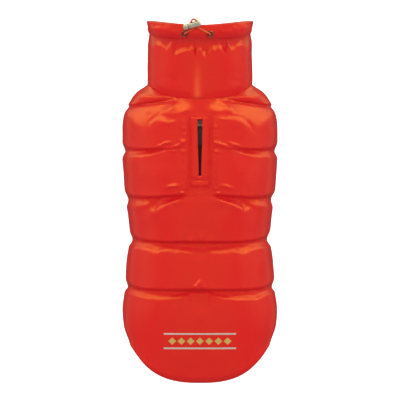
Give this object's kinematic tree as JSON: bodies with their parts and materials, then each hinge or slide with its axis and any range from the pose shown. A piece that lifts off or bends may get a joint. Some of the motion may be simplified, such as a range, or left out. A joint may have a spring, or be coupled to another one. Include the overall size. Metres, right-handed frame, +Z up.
{
  "type": "dog winter coat",
  "caption": "Small padded dog coat held in its worn, hollow form, with a quilted back, tall drawcord collar, leash zip slit, leg holes and open belly end.",
  "frame": {"origin": "the coat's inner face over the withers, where the dog's back carries it", "axes": "+Y along the back to the head, +Z up out of the back, +X to the dog's right"},
  "size_m": [0.1554, 0.3637, 0.1273],
  "materials": {
    "shell": "glossy woven nylon shell over soft padding",
    "zip_tape": "black woven zip tape and coil",
    "metal": "bright plated metal",
    "tab": "black moulded pull tab",
    "cord": "round braided cord"
  },
  "bodies": {
    "root": {"back_panel": "shell", "belly_panel": "shell", "collar": "shell", "cord_casing": "shell", "zip_placket": "shell", "zip_tape": "zip_tape", "zip_slider": "metal", "eyelet_left": "metal", "eyelet_right": "metal", "cord_lock_barrel": "metal", "cord_lock_button": "metal", "drawcord": "cord"},
    "pull_tab": {"zip_pull_tab": "tab"}
  },
  "joints": [
    {"name": "pull_tab_hinge", "type": "hinge", "parent": "root", "child": "pull_tab", "pos_m": [0, -0.01722, 0.009], "axis": [-1, 0, 0], "range_deg": [0, 165]}
  ]
}
